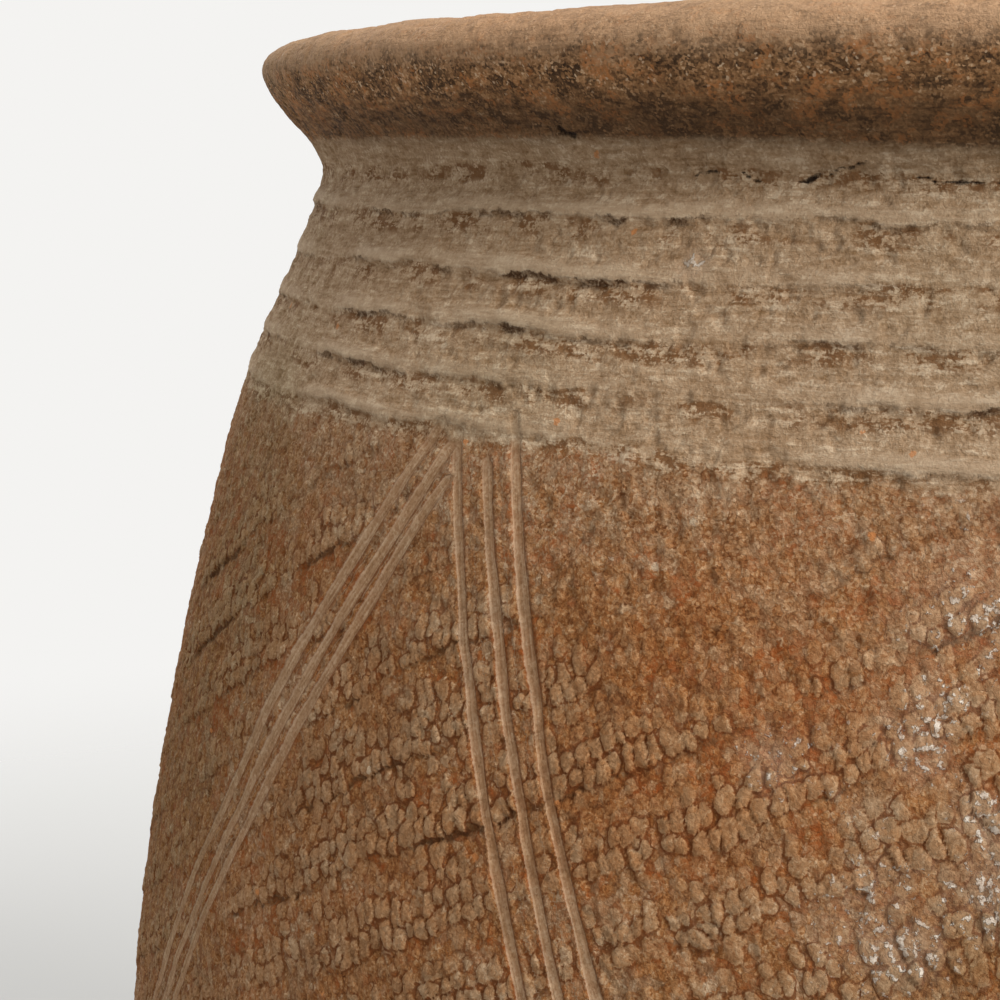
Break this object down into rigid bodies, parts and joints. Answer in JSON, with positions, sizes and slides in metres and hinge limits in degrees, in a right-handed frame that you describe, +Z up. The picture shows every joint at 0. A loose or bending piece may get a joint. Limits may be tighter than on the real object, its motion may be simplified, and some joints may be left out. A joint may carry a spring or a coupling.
{
  "type": "coil-built terracotta jar",
  "caption": "Wide-mouthed, coil-built terracotta storage jar with a thick rolled rim, a grooved neck, an impressed wall and a small flat foot.",
  "frame": {"origin": "centre of the flat foot, on the surface that the jar stands on", "axes": "+Z up along the axis of the jar, towards the mouth; -Y is the side seen in the picture"},
  "size_m": [0.398, 0.398, 0.44],
  "materials": {
    "fired_clay": "matte, unglazed, gritty",
    "smoked_clay": "matte, unglazed, smoke darkened"
  },
  "bodies": {
    "root": {"base_bowl": "fired_clay", "wall_coil_1": "fired_clay", "wall_coil_2": "fired_clay", "wall_coil_3": "fired_clay", "wall_coil_4": "fired_clay", "wall_coil_5": "fired_clay", "wall_coil_6": "fired_clay", "wall_coil_7": "fired_clay", "wall_coil_8": "fired_clay", "wall_coil_9": "fired_clay", "neck_coil": "fired_clay", "rim_coil": "smoked_clay"}
  },
  "joints": []
}
